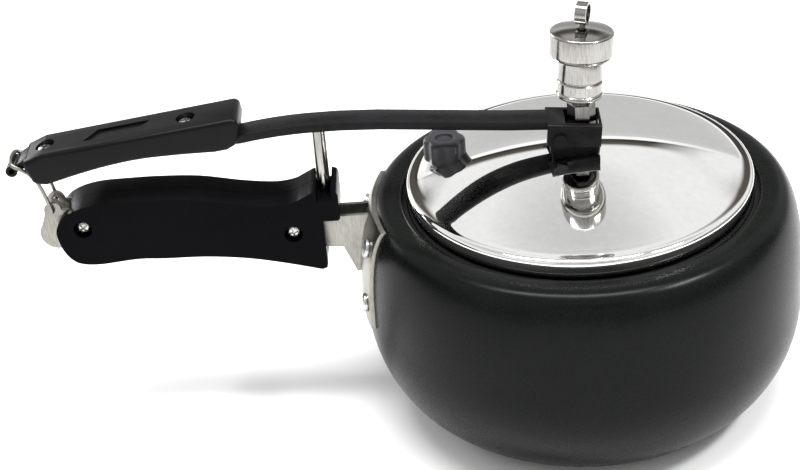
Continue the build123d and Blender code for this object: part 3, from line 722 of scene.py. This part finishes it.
@dataclass
class SideHandle:
    """The two bakelite halves of the pot's handle."""

    half: float = 12.0
    gap: float = 0.25
    top_round: float = 8.0
    low_round: float = 3.0
    post_x: float = -121.3
    notch_half: float = 3.65
    notch_z: float = 119.2
    bore_r: float = 4.4
    tail_reach: float = 6.4
    tang_reach: float = 6.6
    screws: Tuple[Point, ...] = ((-137.4, 102.0), (-237.0, 112.5))

    def outline(self) -> List[Point]:
        """Side view, from the nose along the top, round the tail and back."""
        line = smooth_line([
            (-126.5, 124.2), (-131.5, 121.6), (-136.5, 119.4), (-146.0, 118.5), (-162.0, 120.6), (-181.0, 124.5),
            (-200.0, 125.9), (-216.5, 126.0), (-229.0, 125.6), (-238.5, 123.5), (-245.6, 119.6),
            (-249.6, 113.0), (-249.2, 106.6), (-247.8, 101.6), (-245.0, 97.0), (-240.5, 93.8), (-231.0, 92.8),
            (-213.0, 94.3), (-200.0, 93.6), (-180.5, 93.0), (-160.5, 90.5), (-142.0, 86.2), (-125.5, 81.5)], 4)
        return line + [(-123.0, 82.3), (-122.5, 84.5), (-122.5, 108.0), (-115.6, 108.0), (-114.5, 109.0),
                       (-114.5, 121.6), (-115.2, 123.4), (-117.0, 124.2), (-121.0, 124.4)]

    def half_piece(self, side: int) -> bpy.types.Object:
        """One half of the handle.

        Args:
            side: -1 for the front half, 1 for the far one.

        Returns:
            The half, rounded and cut out.
        """
        name = "handle_half_front" if side < 0 else "handle_half_far"
        y_in, y_out = side * self.gap / 2, side * self.half
        piece = Bench.slab(name, self.outline(), y_in, y_out)

        def outer(a: Vector, b: Vector) -> bool:
            """Whether an edge lies on the outer face."""
            return abs(a.y - y_out) < NEAR and abs(b.y - y_out) < NEAR

        def along_top(a: Vector, b: Vector) -> bool:
            """Whether an edge is one of the outer face's upper edges, behind the nose."""
            return outer(a, b) and min(a.z, b.z) > 105 and max(a.x, b.x) < -127.5

        Bench.bevel_where(piece, along_top, self.top_round, 8)
        Bench.bevel_where(piece, lambda a, b: outer(a, b) and (a - b).length > 0.3, self.low_round, 5)
        Bench.cut(piece, Bench.block("notch", (self.post_x - self.notch_half, -20, self.notch_z),
                                     (self.post_x + self.notch_half, 20, 140)))
        for x, z in self.screws:
            deep = (x, side * (self.half - self.bore_r), z)
            Bench.cut(piece, Bench.rod("bore", deep, (x, side * (self.half + 3), z), self.bore_r))
        tail, tang = self.tail_reach, self.tang_reach
        Bench.cut(piece, Bench.block("tail_room", (-262, -tail, 100), (-236, tail, 121.5)))
        Bench.cut(piece, Bench.block("tang_room", (-152, -tang, 84), (-117, tang, 107.4)))
        return Bench.tidy(piece, 32.0)

    def build(self) -> None:
        """Model both halves."""
        for side, node in ((-1, "body_handle_near"), (1, "body_handle_far")):
            piece = self.half_piece(side)
            Bench.dress(piece, Finishes.bakelite)
            Bench.hand_over(piece, Body.POT, "bakelite", node)


@dataclass
class LidGrip:
    """The moulded grip on the lever."""

    inner_x: float = -157.5
    outer_x: float = -259.5
    inner_half: float = 12.0
    outer_half: float = 11.5
    inner_top: float = 165.8
    outer_top: float = 152.4
    chamfer_x: float = -250.5
    end_round: float = 3.0
    edge_round: float = 2.2
    well_r: float = 4.6
    screws_x: Tuple[float, float] = (-182.4, -250.0)
    panel_half: float = 4.6
    panel_deep: float = 1.0
    hollow_half: float = 9.7
    bar_half: float = 6.6

    def top_at(self, x: float) -> float:
        """Height of the top at x."""
        share = (x - self.inner_x) / (self.outer_x - self.inner_x)
        return self.inner_top + (self.outer_top - self.inner_top) * share

    def blank(self) -> bpy.types.Object:
        """Extrude the side view and taper it towards its outer end.

        Returns:
            The grip with sharp edges.
        """
        outline = [(self.inner_x, self.inner_top), (self.chamfer_x, self.top_at(self.chamfer_x)), (-259.3, 149.9),
                   (-259.5, 146.5), (-256.6, 139.2), (-254.5, 137.8)]
        outline += smooth_line([(-250.0, 137.4), (-228.0, 143.4), (-207.5, 147.2), (-188.0, 148.4),
                                (-169.5, 148.6)], 4)
        outline += [(-163.5, 149.4), (-159.6, 151.6), (-157.2, 155.4), (-156.6, 159.5)]
        piece = Bench.slab("lever_grip", outline, -self.inner_half, self.inner_half)
        for vertex in piece.data.vertices:
            share = (vertex.co.x / MM - self.inner_x) / (self.outer_x - self.inner_x)
            half = self.inner_half + (self.outer_half - self.inner_half) * max(0.0, share)
            end = max(0.0, (-248.0 - vertex.co.x / MM) / 11.5)
            vertex.co.y *= (half - 0.4 * end) / self.inner_half
        return piece

    def soften(self, piece: bpy.types.Object) -> None:
        """Round the inner end's top edge first, and then the long edges."""

        def inner_end(a: Vector, b: Vector) -> bool:
            """Whether an edge crosses the top at the inner end."""
            return (abs(a.y + b.y) < NEAR and abs(a.y - b.y) > 15
                    and a.z > self.top_at(a.x) - 0.5 and a.x > self.inner_x - 0.7)

        def lengthwise(a: Vector, b: Vector) -> bool:
            """Whether an edge runs along one side."""
            return a.y * b.y > 0 and abs(a.y) > 1 and (a - b).length > 0.05

        Bench.bevel_where(piece, inner_end, self.end_round, 5)
        Bench.bevel_where(piece, lengthwise, self.edge_round, 5)

    def panel(self) -> bpy.types.Object:
        """The tool that sinks the plain slanted panel into the top.

        Returns:
            The tool.
        """
        slope = math.atan2(self.inner_top - self.outer_top, self.inner_x - self.outer_x)
        half = self.panel_half
        corner_points = [(-231.0, -half), (-206.0, -half), (-199.5, half), (-224.5, half)]
        plate = Bench.loop("panel", [(x, y, self.top_at(x) - self.panel_deep) for x, y in corner_points],
                           filled=True)
        Bench.focus(plate)
        bpy.ops.object.mode_set(mode="EDIT")
        bpy.ops.mesh.select_all(action="SELECT")
        bpy.ops.mesh.extrude_region_move(TRANSFORM_OT_translate={"value": (
            -math.sin(slope) * 3 * MM, 0, math.cos(slope) * 3 * MM)})
        bpy.ops.mesh.normals_make_consistent(inside=False)
        bpy.ops.object.mode_set(mode="OBJECT")
        return plate

    def build(self) -> None:
        """Make the grip, sink its screws and panel, and hollow it for the bar and the loop."""
        piece = self.blank()
        self.soften(piece)
        for x in self.screws_x:
            top = self.top_at(x)
            Bench.cut(piece, Bench.rod("well", (x, 0, top - 4.6), (x, 0, top + 4), self.well_r))
        Bench.cut(piece, self.panel())
        side, bar = self.hollow_half, self.bar_half
        Bench.cut(piece, Bench.block("hollow", (-262, -side, 130), (-240, side, 145.6)))
        Bench.cut(piece, Bench.block("bar_room", (-262, -bar, 144), (-234, bar, 150.4)))
        Bench.tidy(piece, 32.0)
        Bench.dress(piece, Finishes.grip)
        Bench.hand_over(piece, Body.LEVER, "grip_bakelite", "lid_grip")


@dataclass
class Weight:
    """The steam weight and its ring, leaning a little on the vent's stem."""

    x: float = 2.0
    floor: float = 159.6
    seat: float = 171.6
    neck_r: float = 10.6
    head_r: float = 14.9
    neck_h: float = 18.9
    sleeve_h: float = 8.3
    side_h: float = 13.2
    dome: float = 2.0
    lean_right: float = 4.0
    lean_back: float = 4.0
    ring_r: float = 5.3
    ring_wall: float = 1.1
    ring_half: float = 2.6
    ring_turn: float = -20.0
    ring_corners: int = 56
    peg_r: float = 1.5
    peg_shown: float = 1.2
    bore_r: float = 5.3
    rim_round: float = 1.2
    under_round: float = 3.4
    foot_round: float = 1.3

    def lean(self, piece: bpy.types.Object) -> None:
        """Lean a piece about the seat.

        Args:
            piece: the piece, which stands upright.
        """
        seat = Matrix.Translation(Vector((self.x, 0, self.seat)) * MM)
        turn = Matrix.Rotation(math.radians(-self.lean_back), 4, "X") @ Matrix.Rotation(
            math.radians(self.lean_right), 4, "Y")
        piece.data.transform(seat @ turn @ seat.inverted())

    def heights(self) -> Triple:
        """Heights of the sleeve's top, of the shoulder and of the crown."""
        shoulder = self.floor + self.neck_h
        return self.floor + self.sleeve_h, shoulder, shoulder + self.side_h + self.dome

    def head(self) -> bpy.types.Object:
        """Turn the head and the neck.

        Returns:
            The upright piece.
        """
        low, shoulder, crown = self.heights()
        top = shoulder + self.side_h
        rim = self.head_r - self.rim_round
        dome_r = (rim ** 2 + self.dome ** 2) / (2 * self.dome)
        reach = math.degrees(math.asin(rim / dome_r))
        neck, groove, bore = self.neck_r, self.neck_r - 0.9, self.bore_r
        line = [(0.0, crown)] + arc(0, crown - dome_r, dome_r, 90, 90 - reach, 8)[1:]
        line += arc(rim, top - self.rim_round, self.rim_round, 75, 0, 5)
        line += arc(self.head_r - self.under_round, shoulder + self.under_round, self.under_round, 0, -80, 7)
        line += [(neck + 0.15, shoulder), (neck, shoulder - 0.4), (neck, low + 1.1),
                 (neck - 0.3, low + 0.8), (groove, low + 0.75), (groove, low + 0.02),
                 (bore, low + 0.02), (bore, self.seat + 0.4), (0.0, self.seat + 0.4)]
        return Bench.turned("weight_head", line, self.x, 0.0, 96)

    def sleeve(self) -> bpy.types.Object:
        """Turn the lower sleeve with its thin groove.

        Returns:
            The upright piece.
        """
        low = self.heights()[0]
        neck, groove, foot = self.neck_r, self.neck_r - 0.55, self.floor
        line = [(self.bore_r, foot), (neck - 1.2, foot)]
        line += arc(neck - 0.9, foot + self.foot_round, self.foot_round, -90, 60, 8)
        line += [(groove, foot + 2.75), (groove, foot + 3.1), (neck, foot + 3.3), (neck, low - 0.6),
                 (neck - 0.5, low), (self.bore_r, low)]
        return Bench.turned("weight_skirt", line, self.x, 0.0, 96)

    def ring(self) -> bpy.types.Object:
        """Bend the strip ring and stand it on its peg.

        Returns:
            The upright piece.
        """
        crown = self.heights()[2]
        centre = crown + self.peg_shown + self.ring_r
        count = self.ring_corners
        ring = Bench.slab("ring_strip", arc(0, 0, self.ring_r, 0, 360 - 360 / count, count - 1),
                          -self.ring_half, self.ring_half)
        ring.data.transform(Matrix.Rotation(math.radians(90), 4, "Z"))
        ring.data.transform(Matrix.Translation(Vector((self.x, 0, centre)) * MM))
        Bench.cut(ring, Bench.rod("hole", (self.x - 9, 0, centre), (self.x + 9, 0, centre),
                                  self.ring_r - self.ring_wall, count))
        peg_top = centre - self.ring_r + 0.6
        Bench.cut(ring, Bench.rod("peg", (self.x, 0, crown - 3.0), (self.x, 0, peg_top), self.peg_r, 24),
                  "UNION")
        spin = Matrix.Translation(Vector((self.x, 0, 0)) * MM)
        ring.data.transform(spin @ Matrix.Rotation(math.radians(self.ring_turn), 4, "Z") @ spin.inverted())
        return Bench.tidy(ring, 40.0)

    def build(self) -> None:
        """Make the three pieces and lean them."""
        made = ((self.head(), "weight_body"), (self.sleeve(), "weight_sleeve"), (self.ring(), "lifting_ring"))
        for piece, node in made:
            self.lean(piece)
            Bench.dress(piece, Finishes.chrome)
            Bench.hand_over(piece, Body.WEIGHT, "chrome", node)


@dataclass
class ValveCap:
    """The lobed rubber cap of the safety valve."""

    x: float = -62.8
    y: float = 13.2
    radius: float = 10.1
    foot: float = 123.6
    lobes: int = 6
    lower: float = 2.0
    foot_round: float = 1.4
    top_round: float = 2.2
    core_r: float = 5.6
    press: float = 0.11

    def build(self) -> None:
        """Turn the cap and press the lobes into its side."""
        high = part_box("safety_valve_cap")[1].z / MM - self.lower
        low = self.foot
        line = [(0.0, low)]
        line += arc(self.radius - self.foot_round, low + self.foot_round, self.foot_round, -90, 0, 4)
        line += [(self.radius, (low + high) / 2)]
        line += arc(self.radius - self.top_round, high - self.top_round, self.top_round, 0, 80, 6)
        line += [(5.2, high), (4.4, high - 0.4), (3.9, high - 1.6), (2.4, high - 1.8), (0.0, high - 1.8)]
        piece = Bench.turned("valve_cap", line, self.x, self.y, 120)
        for vertex in piece.data.vertices:
            dx, dy = vertex.co.x / MM - self.x, vertex.co.y / MM - self.y
            radius = math.hypot(dx, dy)
            if radius > self.core_r:
                wave = 0.5 - 0.5 * math.cos(self.lobes * math.atan2(dy, dx))
                pull = 1 - self.press * wave ** 1.6 * (radius - self.core_r) / 3.7
                vertex.co.x = (self.x + dx * pull) * MM
                vertex.co.y = (self.y + dy * pull) * MM
        piece.data.update()
        Bench.dress(piece, Finishes.valve)
        Bench.hand_over(piece, Body.LID, "valve_rubber", "safety_valve_cap")


@dataclass
class WireLoop:
    """The wire loop of the latch, over the curled end of the bar."""

    half: float = 7.7
    radius: float = 0.95

    def build(self) -> None:
        """Bend the wire from one ear over the curl to the other."""
        up = [(-250.8, 121.0), (-252.2, 128.0), (-254.4, 136.5), (-257.3, 141.6),
              (-261.5, 145.0), (-265.8, 147.5)]
        near = [(-250.8, -4.2, 121.0), (-250.8, -6.4, 121.0)] + [(x, -self.half, z) for x, z in up]
        far = [(x, -y, z) for x, y, z in reversed(near)]
        across = [(-267.0, -3.0, 148.0), (-267.0, 3.0, 148.0)]
        piece = Bench.wire("latch_wire", near + across + far, self.radius)
        Bench.dress(piece, Finishes.satin)
        Bench.hand_over(piece, Body.LATCH, "satin_steel", "latch_loop")


class CrossScrews:
    """Pan-headed screws with a cross recess."""

    def head(self, name: str, place: Triple, out: Triple, radius: float,
             turn: float) -> bpy.types.Object:
        """One screw head, its recess facing out.

        Args:
            name: name of the piece.
            place: middle of the head's seat.
            out: direction that the recess faces.
            radius: radius of the head.
            turn: turn of the cross, in degrees.

        Returns:
            The head, in place.
        """
        high = radius * 0.62
        line = [(0.0, -1.6), (radius * 0.45, -1.6), (radius * 0.45, 0.0), (radius, 0.0)]
        line += arc(radius - 0.5, high * 0.35, 0.5, 0, 60, 3)
        line += [(radius * 0.72, high * 0.86), (radius * 0.42, high), (0.0, high)]
        head = Bench.turned(name, line, 0.0, 0.0, 40)
        wide, reach = radius * 0.15, radius * 0.66
        for low, top in (((-reach, -wide, high * 0.12), (reach, wide, high + 1)),
                         ((-wide, -reach, high * 0.12), (wide, reach, high + 1))):
            Bench.cut(head, Bench.block("cross", low, top))
        facing = Vector(out).to_track_quat("Z", "Y").to_matrix().to_4x4()
        head.data.transform(Matrix.Translation(Vector(place) * MM) @ facing
                            @ Matrix.Rotation(math.radians(turn), 4, "Z"))
        return Bench.tidy(head, 30.0)

    def pair(self, heads: Sequence[bpy.types.Object], body: Body, node: str) -> None:
        """Join two heads into one piece and hand it over.

        Args:
            heads: the two heads.
            body: the body that they move with.
            node: the CAD node that they stand for.
        """
        Bench.focus(heads[0])
        heads[1].select_set(True)
        bpy.ops.object.join()
        Bench.dress(heads[0], Finishes.screw)
        Bench.hand_over(heads[0], body, "zinc_screw", node)

    def build(self) -> None:
        """The screws of the lever's grip, and the front ones of the handle."""
        grip = LidGrip()
        self.pair([self.head(f"grip_screw_{i}", (x, 0, grip.top_at(x) - 3.7), (0, 0, 1), 3.9, 20.0 + 50 * i)
                   for i, x in enumerate(grip.screws_x)], Body.LEVER, "grip_screws")
        self.pair([self.head(f"handle_screw_{i}", (x, -8.0, z), (0, -1, 0), 3.5, 10.0 + 25 * i)
                   for i, (x, z) in enumerate(SideHandle.screws)], Body.POT, "body_handle_screws")


@dataclass(frozen=True)
class Broken:
    """A CAD shape whose edges are broken.

    Attributes:
        name: name of the new piece.
        body: its body.
        slot: its material slot.
        width: width of the broken edge.
        finish: its finish.
    """

    name: str
    body: Body
    slot: str
    width: float
    finish: Finish


class Pressings:
    """Bars and pressings whose edges are broken."""

    pieces: Dict[str, Broken] = {
        "lever_bar": Broken("lever_flat_bar", Body.LEVER, "black_steel", 0.9, Finishes.black_steel),
        "lid_lug": Broken("lid_lug_block", Body.LID, "black_steel", 0.5, Finishes.black_steel),
        "pot_bracket": Broken("bracket_pressing", Body.POT, "satin_steel", 0.5, Finishes.satin),
        "latch_bracket": Broken("latch_ears", Body.POT, "satin_steel", 0.35, Finishes.satin),
        "vent_nut": Broken("vent_hex_nut", Body.LID, "brass", 0.4, Finishes.chrome),
    }

    def build(self) -> None:
        """Copy each shape, break its edges and hand it over."""
        for node, broken in self.pieces.items():
            piece = Bench.softened(node, broken.name, broken.width)
            Bench.dress(piece, broken.finish)
            Bench.hand_over(piece, broken.body, broken.slot, node)


class Carried:
    """The pieces whose CAD shape is right: they only get their finishes."""

    finishes: Dict[str, Finish] = {
        "bracket_rivets": Finishes.screw, "body_handle_nuts": Finishes.screw,
        "support_post": Finishes.chrome, "sealing_ring": Finishes.rubber,
        "lid_pin": Finishes.black_steel, "split_pin": Finishes.black_steel,
        "vent_tube": Finishes.chrome, "vent_washer": Finishes.satin,
        "safety_valve_body": Finishes.brass, "safety_valve_nut": Finishes.brass,
        "fusible_plug": Finishes.tin, "weight_needle": Finishes.brass,
    }

    def build(self) -> None:
        """Assign the finishes to the nodes' own slots."""
        for node, finish in self.finishes.items():
            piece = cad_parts[node]
            material = finish.make()
            if not piece.material_slots:
                piece.data.materials.append(material)
            for place in piece.material_slots:
                place.material = material
            log.info("node %s keeps its shape", node)


# ---------------------------------------------------------------- studio


def greys(*stops: Point) -> List[Tuple[float, Triple]]:
    """Ramp stops that are plain greys, given as place and value."""
    return [(place, (value, value, value)) for place, value in stops]


@dataclass
class Studio:
    """Floor, light and camera.

    Attributes:
        elevation, azimuth, roll: where the camera stands and how it leans, in degrees.
        distance: from the target to the camera, in millimetres.
        lens, sensor: focal length and sensor width, in millimetres.
        target: what it looks at, in millimetres.
    """

    elevation: float = 31.2
    azimuth: float = 2.0
    roll: float = -5.0
    distance: float = 903.0
    lens: float = 83.835
    sensor: float = 36.0
    target: Triple = (-87.3, 0.0, 90.4)

    def camera(self) -> None:
        """Place the camera."""
        e, a, roll = (math.radians(v) for v in (self.elevation, self.azimuth, self.roll))
        back = Vector((math.sin(a) * math.cos(e), -math.cos(a) * math.cos(e), math.sin(e)))
        level = Vector((math.cos(a), math.sin(a), 0.0))
        up = back.cross(level)
        right = math.cos(roll) * level + math.sin(roll) * up
        above = -math.sin(roll) * level + math.cos(roll) * up
        data = bpy.data.cameras.new("camera")
        data.sensor_fit = "HORIZONTAL"
        data.sensor_width = self.sensor
        data.lens = self.lens
        data.clip_start = 0.05
        data.clip_end = 20.0
        camera = bpy.data.objects.new("camera", data)
        bpy.context.scene.collection.objects.link(camera)
        axes = Matrix((right, above, back)).transposed().to_4x4()
        camera.matrix_world = Matrix.Translation((Vector(self.target) + self.distance * back) * MM) @ axes
        bpy.context.scene.camera = camera

    def floor(self) -> None:
        """A plain pale floor."""
        Bench.clear()
        bpy.ops.mesh.primitive_plane_add(size=6.0, location=(0, 0, 0))
        floor = bpy.context.active_object
        floor.name = "floor"
        paint = Finish("pale_floor", (0.90, 0.90, 0.90), (0.92, 0.92, 0.92), 0.0, 0.8, 0.9,
                       (20.0, 20.0, 20.0), 0.0, 0.2)
        Bench.dress(floor, paint)

    def light(self, name: str, place: Triple, aim: Triple,
              size: Tuple[float, float], watts: float) -> None:
        """One soft box.

        Args:
            name: name of the light.
            place: where it hangs, in metres.
            aim: what it faces, in metres.
            size: its two sides, in metres.
            watts: its power.
        """
        data = bpy.data.lights.new(name, "AREA")
        data.shape = "RECTANGLE"
        data.size, data.size_y = size
        data.energy = watts
        lamp = bpy.data.objects.new(name, data)
        bpy.context.scene.collection.objects.link(lamp)
        lamp.location = place
        lamp.rotation_mode = "QUATERNION"
        lamp.rotation_quaternion = (Vector(place) - Vector(aim)).to_track_quat("Z", "Y")

    def world(self) -> None:
        """A pale room with one dark band at the back and a dark post at each side."""
        world = bpy.data.worlds.new("room")
        bpy.context.scene.world = world
        world.use_nodes = True
        world.node_tree.nodes.clear()
        sheet = Sheet(world.node_tree)
        coords = sheet.node("ShaderNodeTexCoord", output="Generated")
        height = sheet.node("ShaderNodeSeparateXYZ", sockets={0: coords}, output="Z")
        across = sheet.node("ShaderNodeSeparateXYZ", sockets={0: coords}, output="X")
        plain = sheet.ramp(height, greys(
            (0.0, 0.60), (0.15, 0.64), (0.28, 0.76), (0.34, 1.0), (0.70, 1.0), (0.82, 0.68), (1.0, 0.72)))
        banded = sheet.ramp(height, [
            *greys((0.0, 0.60), (0.15, 0.64), (0.25, 0.74), (0.28, 1.2), (0.355, 1.2)),
            (0.38, (0.03, 0.028, 0.025)), (0.54, (0.13, 0.115, 0.10)),
            *greys((0.60, 1.0), (0.74, 1.0), (0.82, 0.68), (1.0, 0.72))])
        middle = sheet.ramp(across * 0.5 + 0.5, greys(
            (0.0, 0.0), (0.32, 0.0), (0.37, 1.0), (0.63, 1.0), (0.71, 0.0), (1.0, 0.0)))
        shade = sheet.node("ShaderNodeMix", {"data_type": "RGBA"}, {0: middle, 6: plain, 7: banded}, output=2)
        posts = sheet.ramp(across * 0.5 + 0.5, greys(
            (0.0, 1.0), (0.006, 0.02), (0.030, 0.02), (0.040, 1.0), (0.92, 1.0), (0.96, 0.22), (1.0, 0.6)))
        shade = sheet.node("ShaderNodeMix", {"data_type": "RGBA", "blend_type": "MULTIPLY"},
                           {0: 1.0, 6: shade, 7: posts}, output=2)
        sky = sheet.node("ShaderNodeBackground", sockets={"Color": shade, "Strength": 1.0})
        out = sheet.tree.nodes.new("ShaderNodeOutputWorld")
        sheet.tree.links.new(sky.socket, out.inputs[0])

    def build(self) -> None:
        """Set the whole studio up."""
        self.camera()
        self.floor()
        self.world()
        self.light("overhead", (-0.1, -0.15, 1.5), (-0.08, 0.0, 0.1), (1.2, 0.30), 26.0)
        self.light("left", (-1.5, 1.35, 0.6), (-0.05, 0.0, 0.08), (0.9, 0.5), 12.0)
        self.light("right", (0.85, -0.35, 1.3), (0.05, 0.0, 0.08), (0.4, 0.18), 16.0)
        bpy.context.scene.view_settings.view_transform = "Standard"


def main() -> None:
    """Build the studio and the cooker."""
    logging.basicConfig(level=logging.INFO, format="%(message)s")
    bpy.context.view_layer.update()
    Studio().build()
    for assembly in (Pot(), Lid(), SideHandle(), LidGrip(), Weight(), ValveCap(), WireLoop(),
                     CrossScrews(), Pressings(), Carried()):
        assembly.build()
        log.info("built %s", type(assembly).__name__)
    Bench.clear()


if __name__ == "__main__":
    main()
